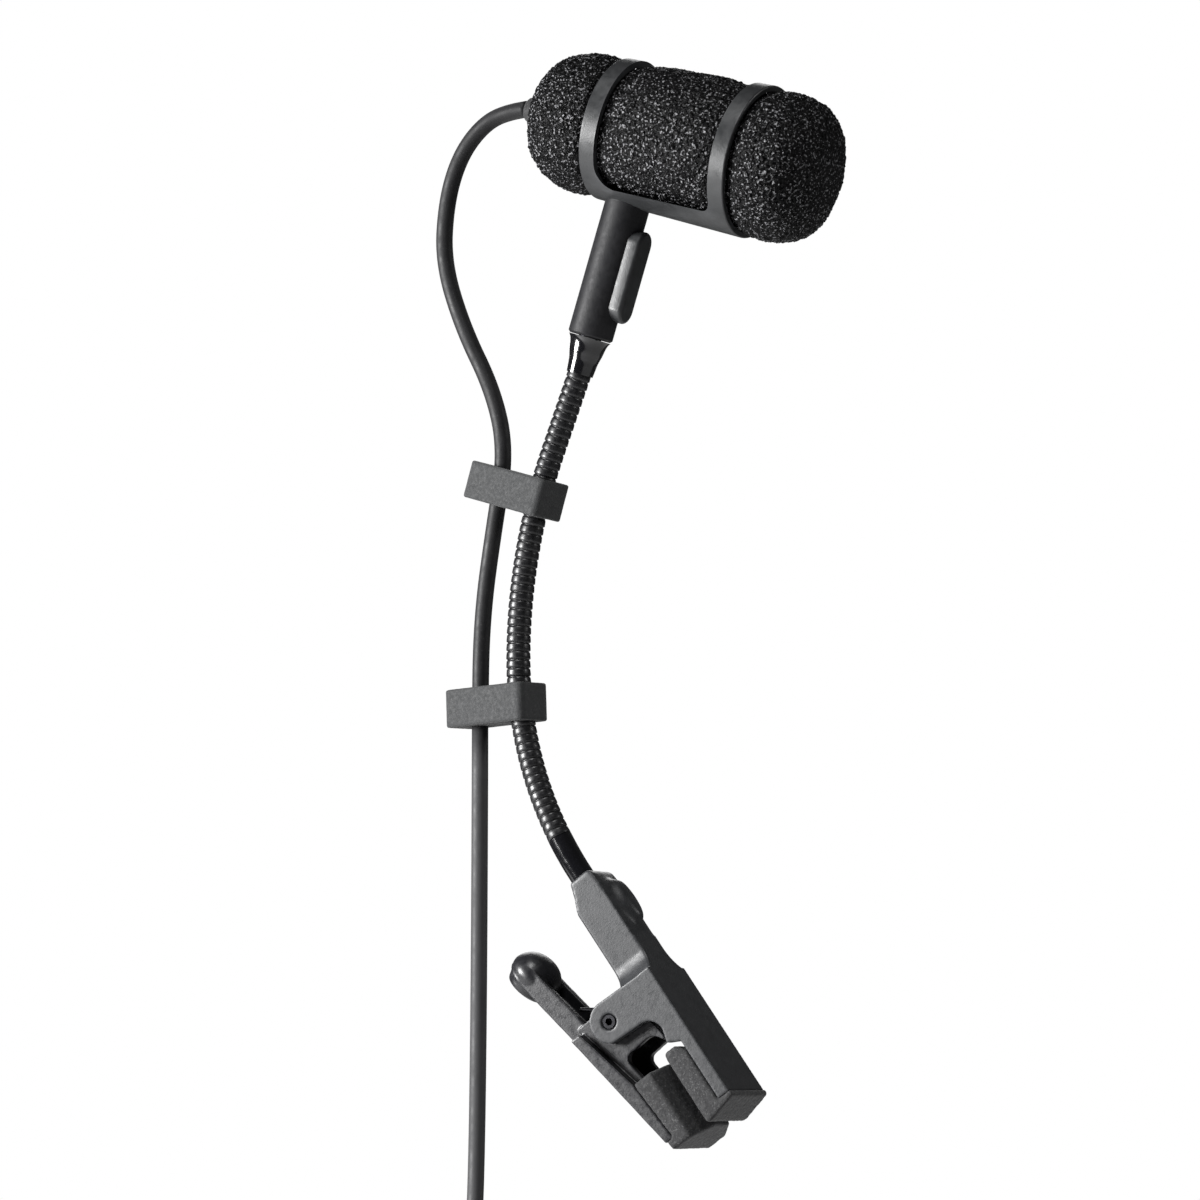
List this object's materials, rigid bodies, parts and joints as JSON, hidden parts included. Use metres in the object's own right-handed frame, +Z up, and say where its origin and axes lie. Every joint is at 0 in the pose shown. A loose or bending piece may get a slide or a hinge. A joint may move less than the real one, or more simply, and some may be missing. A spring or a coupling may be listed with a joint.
{
  "type": "clip-on gooseneck microphone",
  "caption": "Foam-covered miniature microphone in a caged holder on a short gooseneck, with a sprung clip and a hanging lead held by rubber cable clips.",
  "frame": {"origin": "middle of the fixed jaw's grip face", "axes": "+Z up, +X the way the microphone points, +Y away from the side seen first, with the hinge pin along it"},
  "size_m": [0.084, 0.0288, 0.3616],
  "materials": {
    "clip_plastic": "satin moulded",
    "lever_plastic": "satin moulded",
    "pad_rubber": "matte with fine speckle",
    "black_metal": "gloss black",
    "neck_sheath": "ribbed, semi-gloss",
    "cable_clip_rubber": "matte",
    "sleeve_black": "matte",
    "cage_plastic": "satin with fine grain",
    "foam": "open-cell foam",
    "steel": "black oxide",
    "black_housing": "satin black",
    "capsule_gold": "plated",
    "gasket_rubber": "soft",
    "board": "solder mask",
    "lead_jacket": "matte",
    "tie_fabric": "woven hook-and-loop",
    "connector_metal": "satin nickel",
    "insert_plastic": "moulded",
    "contact_gold": "plated"
  },
  "bodies": {
    "clip": {"clip_body": "clip_plastic", "hinge_pin": "steel", "torsion_spring": "steel", "upper_jaw_pad": "pad_rubber", "clip_ferrule": "black_metal", "gooseneck_lower": "neck_sheath"},
    "lever": {"jaw_lever": "lever_plastic", "lower_jaw_pad": "pad_rubber"},
    "neck_middle": {"gooseneck_middle": "neck_sheath", "lower_cable_clip": "cable_clip_rubber", "lead_clipped": "lead_jacket"},
    "neck_upper": {"gooseneck_upper": "neck_sheath", "upper_cable_clip": "cable_clip_rubber", "swivel_ferrule": "black_metal", "swivel_spigot": "steel", "spigot_ring": "steel", "lead_top": "lead_jacket"},
    "head": {"holder_sleeve": "sleeve_black", "sleeve_grip_bar": "cage_plastic", "cage": "cage_plastic", "foam_windscreen": "foam", "mic_housing": "black_housing", "front_grille": "black_housing", "capsule": "capsule_gold", "capsule_gasket": "gasket_rubber", "circuit_board": "board", "end_cap": "black_housing", "strain_relief": "gasket_rubber"},
    "lead": {"lead_hanging": "lead_jacket", "lead_hank": "lead_jacket", "hank_tie": "tie_fabric", "lead_tail": "lead_jacket", "connector_boot": "gasket_rubber", "connector_shell": "connector_metal", "connector_insert": "insert_plastic", "connector_contacts": "contact_gold"},
    "latch": {"connector_latch": "connector_metal"}
  },
  "joints": [
    {"name": "jaw_hinge", "type": "hinge", "parent": "clip", "child": "lever", "pos_m": [-0.01566, 0, 0.01277], "axis": [0, 1, 0], "range_deg": [0, 25], "stiffness_Nm_per_rad": 0.18, "springref_deg": -68.75, "deforming": ["torsion_spring"]},
    {"name": "bend_lower", "type": "hinge", "parent": "clip", "child": "neck_middle", "pos_m": [-0.03433, 0, 0.05777], "axis": [0, 1, 0], "range_deg": [-35, 15]},
    {"name": "bend_upper", "type": "hinge", "parent": "neck_middle", "child": "neck_upper", "pos_m": [-0.03771, 0, 0.09277], "axis": [0, 1, 0], "range_deg": [-35, 35], "deforming": ["lead_clipped"]},
    {"name": "head_swivel", "type": "hinge", "parent": "neck_upper", "child": "head", "pos_m": [-0.02333, 0, 0.14127], "axis": [0.304, 0, 0.9527], "range_deg": [-45, 45], "deforming": ["lead_top"]},
    {"name": "lead_swing", "type": "hinge", "parent": "neck_middle", "child": "lead", "pos_m": [-0.04807, 0.00313, 0.06661], "axis": [0, 1, 0], "range_deg": [-15, 35]},
    {"name": "latch_press", "type": "slide", "parent": "lead", "child": "latch", "axis": [0, 1, 0], "range_m": [0, 0.0008], "stiffness_N_per_m": 800, "springref_m": -0.0006}
  ],
  "couplings": [
    {"joint": "lead_swing", "follows": "bend_lower", "ratio": -1}
  ]
}
